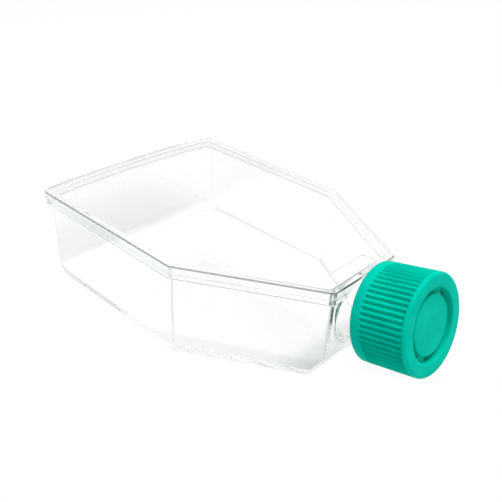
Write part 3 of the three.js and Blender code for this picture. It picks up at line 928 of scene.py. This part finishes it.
def pocket():
    """Rounded rectangle lofted up from the pocket's floor, drawn in a little at the floor."""
    half = np.array([POCKET_LENGTH, POCKET_WIDTH]) / 2
    centre = np.array([FRONT_X - POCKET_SETBACK - half[0], 0.0])
    corner = centre + half * np.array([[-1, -1], [1, -1], [1, 1], [-1, 1]])
    parts = [arc_at_corner(corner[None, i - 1], corner[None, i], corner[None, (i + 1) % 4],
                           np.array([POCKET_CORNER]), POCKET_CORNER_STEPS)[0]
             for i in range(4)]
    ring = np.concatenate(parts)
    z = BODY_HEIGHT - POCKET_DEPTH + POCKET_EDGE_HEIGHTS
    scale = 1 - POCKET_EDGE_INSETS[:, None, None] / half[None, None, :]
    rings = centre + (ring - centre)[None] * scale
    height = np.broadcast_to(z[:, None, None], (len(z), len(ring), 1))
    return lofted("pocket", [np.concatenate([rings, height], axis=-1) * MM])


plate_pocket = pocket()
print("pocket", len(plate_pocket.data.polygons), "faces")

# %% Join and cut the body
WELD_DISTANCE = 2e-6            # in metres
CREASE_ANGLE_BODY = 32.0
CREASE_ANGLE_CAP = 38.0


def carve(name, solid, added, removed):
    """Adds and removes solids with Boolean modifiers, keeps the result and deletes the tools."""
    for operation, tools in (("UNION", added), ("DIFFERENCE", removed)):
        for tool in tools:
            step = solid.modifiers.new(tool.name, "BOOLEAN")
            step.operation = operation
            step.solver = "MANIFOLD"
            step.object = tool
    weld = solid.modifiers.new("weld", "WELD")
    weld.merge_threshold = WELD_DISTANCE
    graph = bpy.context.evaluated_depsgraph_get()
    mesh = bpy.data.meshes.new_from_object(solid.evaluated_get(graph))
    mesh.name = name
    made = bpy.data.objects.new(name, mesh)
    bpy.context.scene.collection.objects.link(made)
    for tool in [solid, *added, *removed]:
        bpy.data.objects.remove(tool)
    return made


flask = carve("clear_body", body_outside, [neck_outside, neck_thread],
              [culture_space, neck_bore, plate_pocket])
shade(flask, CREASE_ANGLE_BODY)
clear.wear(flask)
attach(flask, "flask")
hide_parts("flask_tray", "top_plate")
print("clear body has", len(flask.data.polygons), "faces")

# %% [markdown]
# ## Screw cap
#
# The cap is one moulding in satin teal plastic. Its side has a smooth band at the open end and
# 58 fine ribs for grip. Its face has a round groove about a raised disc, and six windows in the
# groove's floor let air through to the membrane. Inside, a thread meets the neck's.
#
# It could be a cylinder with the ribs added one by one. But a rib is only a wave in the radius,
# so the whole cap is one profile turned about the axis, with the wave switched on between the
# band and the face. The windows and the thread are then cut and joined as for the body.

# %% Sizes of the cap, in millimetres
CAP_Z = 8.0                     # open end, from the front wall along the neck's axis
CAP_RADIUS = 16.25
CAP_HEIGHT = 18.8
CAP_BORE_RADIUS = 13.9
CAP_CEILING = 15.6
CAP_MOUTH_CHAMFER = 0.4
CAP_CEILING_ROUND = 0.5
CAP_FACE_ROUND = 1.05

RIB_START = 3.0
RIB_END = 17.7
RIB_FADE = 0.6
RIB_COUNT = 58
RIB_DEPTH = 0.7
RIB_ROUNDNESS = 0.75
STEPS_PER_RIB = 12
FADE_LEVELS = np.linspace(0.15, 1, 6)
PLAIN_RIB_HEIGHTS = np.linspace(5, 16, 6)

GROOVE_OUTER_RADIUS = 11.7
GROOVE_INNER_RADIUS = 9.7
GROOVE_FLOOR = 16.8
GROOVE_LIP_ROUND = 0.35
GROOVE_FLOOR_ROUND = 0.2
DISC_HEIGHT = 17.9
DISC_ROUND = 0.45
SAME = 0.01                     # sizes closer than this count as one
print("cap from", CAP_Z, "to", CAP_Z + CAP_HEIGHT, "mm along the neck")

# %% Profile of the cap


def rounded_profile(corners, steps):
    """Open profile whose inner corners are rounded off by arcs of their own radius.

    Each corner is given as distance from the axis, height and radius.
    """
    corners = np.array(corners)
    places = corners[:, :2]
    parts = [places[:1]]
    for i in range(1, len(corners) - 1):
        radius = corners[i, 2]
        if radius > 0:
            arc = arc_at_corner(places[None, i - 1], places[None, i], places[None, i + 1],
                                np.array([radius]), steps)
            parts.append(arc[0])
        else:
            parts.append(places[None, i])
    return np.concatenate([*parts, places[-1:]])


def cap_profile():
    """From the ceiling down the bore, up the outside, over the face and through the groove."""
    inside = rounded_profile([
        (CAP_BORE_RADIUS - 2, CAP_CEILING, 0),
        (CAP_BORE_RADIUS, CAP_CEILING, CAP_CEILING_ROUND),
        (CAP_BORE_RADIUS, CAP_MOUTH_CHAMFER, 0),
        (CAP_BORE_RADIUS + CAP_MOUTH_CHAMFER, 0, 0),
        (CAP_RADIUS, 0, CAP_MOUTH_CHAMFER),
        (CAP_RADIUS, RIB_START, 0),
    ], 6)
    rising = RIB_START + RIB_FADE * FADE_LEVELS
    fading = RIB_END - RIB_FADE * FADE_LEVELS[::-1]
    height = np.concatenate([rising, PLAIN_RIB_HEIGHTS, fading])
    side = np.stack([np.full_like(height, CAP_RADIUS), height], axis=-1)
    face = rounded_profile([
        (CAP_RADIUS, RIB_END - SAME, 0),
        (CAP_RADIUS, CAP_HEIGHT, CAP_FACE_ROUND),
        (GROOVE_OUTER_RADIUS, CAP_HEIGHT, GROOVE_LIP_ROUND),
        (GROOVE_OUTER_RADIUS, GROOVE_FLOOR, GROOVE_FLOOR_ROUND),
        (GROOVE_INNER_RADIUS, GROOVE_FLOOR, GROOVE_FLOOR_ROUND),
        (GROOVE_INNER_RADIUS, DISC_HEIGHT, DISC_ROUND),
        (GROOVE_INNER_RADIUS - 2, DISC_HEIGHT, 0),
    ], 8)
    return np.concatenate([inside, side, face])


print("cap profile has", len(cap_profile()), "points")

# %% Turn the profile


def turned_cap():
    """The profile turned about the axis, less the rib wave.

    The wave is rib depth times ((1 - cos(ribs * angle)) / 2) to a power below 1, so that the
    valleys are wider than the ribs are, and it fades out at both ends of the ribs.
    """
    profile = cap_profile()
    count = RIB_COUNT * STEPS_PER_RIB
    angle = 2 * np.pi * np.arange(count) / count
    radius, height = profile[:, :1], profile[:, 1:]
    ribbed = smooth(height, RIB_START, RIB_START + RIB_FADE)
    ribbed = ribbed * (1 - smooth(height, RIB_END - RIB_FADE, RIB_END))
    ribbed = np.where(radius > CAP_RADIUS - SAME, ribbed, 0)
    valley = ((1 - np.cos(RIB_COUNT * angle)) / 2) ** RIB_ROUNDNESS
    radius = radius - RIB_DEPTH * ribbed * valley
    rings = np.stack([radius * np.cos(angle), radius * np.sin(angle),
                      np.broadcast_to(CAP_Z + height, radius.shape)], axis=-1)
    return lofted("cap outside", [onto_neck(rings)])


solid_cap = turned_cap()
print("turned cap has", len(solid_cap.data.polygons), "faces")

# %% Windows in the groove's floor, in millimetres
WINDOW_COUNT = 6
WINDOW_SWEEP = math.radians(34.0)
WINDOW_MARGIN = 0.25            # floor that is kept along each side of a window
WINDOW_STEPS = 25
CUT_MARGIN = 0.5                # how far the cutting block stands out of the floor


def vent_window(index):
    """Arc-shaped block that spans the sweep round the groove and cuts its floor through."""
    middle = 2 * np.pi * index / WINDOW_COUNT
    angle = middle + WINDOW_SWEEP * np.linspace(-0.5, 0.5, WINDOW_STEPS)
    sides = (GROOVE_OUTER_RADIUS - WINDOW_MARGIN, GROOVE_INNER_RADIUS + WINDOW_MARGIN)
    radius = np.repeat(sides, WINDOW_STEPS)
    angle = np.concatenate([angle, angle[::-1]])
    height = CAP_Z + np.array([[CAP_CEILING - CUT_MARGIN], [GROOVE_FLOOR + CUT_MARGIN]])
    rings = np.stack(np.broadcast_arrays(
        radius * np.cos(angle), radius * np.sin(angle), height), axis=-1)
    return lofted("window " + str(index), [onto_neck(rings)])


windows = [vent_window(i) for i in range(WINDOW_COUNT)]
print(len(windows), "windows of", round(math.degrees(WINDOW_SWEEP)), "degrees")

# %% One cap
CAP_THREAD_START = CAP_Z + 3.2
CAP_THREAD_TURNS = 1.6
half_pitch_apart = 2 * np.pi * (CAP_THREAD_START - THREAD_START) / THREAD_PITCH + np.pi
cap_thread = thread("cap thread", CAP_BORE_RADIUS, CAP_THREAD_START, CAP_THREAD_TURNS,
                    half_pitch_apart, inward=True)
cap = carve("cap_shell", solid_cap, [cap_thread], windows)
shade(cap, CREASE_ANGLE_CAP)
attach(cap, "cap")
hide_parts("screw_cap")
print("cap has", len(cap.data.polygons), "faces and", RIB_COUNT, "ribs")

# %% [markdown]
# ## Teal plastic
#
# The colour is in the plastic, so it is nearly even. What makes it look moulded is the skin: an
# eroded mould leaves a very fine grain of a few tenths of a millimetre, which turns the gloss
# into a soft sheen, and the plastic's flow leaves it slightly cloudy. The gloss itself is low,
# because a grained polyethylene skin sends back little of the white room.

# %% Teal finish
TEAL = (0.0, 0.515, 0.375, 1.0)
TEAL_DEEP = (0.0, 0.455, 0.335, 1.0)
CLOUD_SCALE = 140.0
CLOUD_RANGE = (0.3, 0.7)
GRAIN_SCALE = 5200.0
GRAIN_HEIGHT = 0.00002
GRAIN_STRENGTH = 0.6
SATIN = 0.38
GRAIN_SATIN = 0.14
TEAL_GLOSS = 0.006


def teal_plastic():
    """Satin teal with a fine grain and a cloudiness of some millimetres."""
    finish = new_finish("teal_cap")
    place = finish.place()
    cloud = finish.noise(place, CLOUD_SCALE)
    grain = finish.noise(place, GRAIN_SCALE, roughness=0.6)
    shader = finish.node("ShaderNodeBsdfPrincipled", {}, {
        "Base Color": finish.blend(cloud.rise(*CLOUD_RANGE), TEAL, TEAL_DEEP),
        "Roughness": SATIN + GRAIN_SATIN * grain,
        "Specular IOR Level": TEAL_GLOSS,
        "Normal": finish.bump(grain, GRAIN_HEIGHT, GRAIN_STRENGTH),
    })
    finish.surface(shader)
    return finish


teal_plastic().wear(cap)
print("teal plastic on the cap")

# %% [markdown]
# ## Vent membrane
#
# The membrane is a thin sheet of stretched fluoropolymer on a spun backing. It is bright white
# and quite matte, with fibres that cross each other. The solid model's disc has the right
# shape, so only its finish is made here: two stretched noises laid across each other.

# %% Membrane finish
FIBRE_WHITE = (0.9, 0.9, 0.89, 1.0)
BETWEEN_FIBRES = (0.74, 0.75, 0.75, 1.0)
FIBRE_LAYERS = ((900.0, (1.0, 14.0, 3.0)), (800.0, (8.0, 1.0, 12.0)))
FIBRE_RANGE = (0.45, 0.72)
FIBRE_HEIGHT = 0.00004


def fibre_layer(finish, scale, stretch):
    """Noise that is squeezed more along some axes than along others, so it draws out in lines."""
    squeezed = finish.node("ShaderNodeMapping", {}, {"Vector": finish.place(), "Scale": stretch})
    return finish.noise(squeezed, scale, 3.0)


def fibre_membrane():
    """Crossed fibres: the higher of two layers of noise, with its middle values stretched."""
    finish = new_finish("white_membrane")
    one, two = [fibre_layer(finish, *layer) for layer in FIBRE_LAYERS]
    fibre = one.larger(two).rise(*FIBRE_RANGE)
    shader = finish.node("ShaderNodeBsdfPrincipled", {}, {
        "Base Color": finish.blend(fibre, BETWEEN_FIBRES, FIBRE_WHITE),
        "Roughness": 0.9 - 0.15 * fibre,
        "Specular IOR Level": 0.2,
        "Normal": finish.bump(fibre, FIBRE_HEIGHT),
    })
    finish.surface(shader)
    return finish


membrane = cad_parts["vent_membrane"]
fibre_membrane().wear(membrane)
print("membrane finish on", membrane.name)
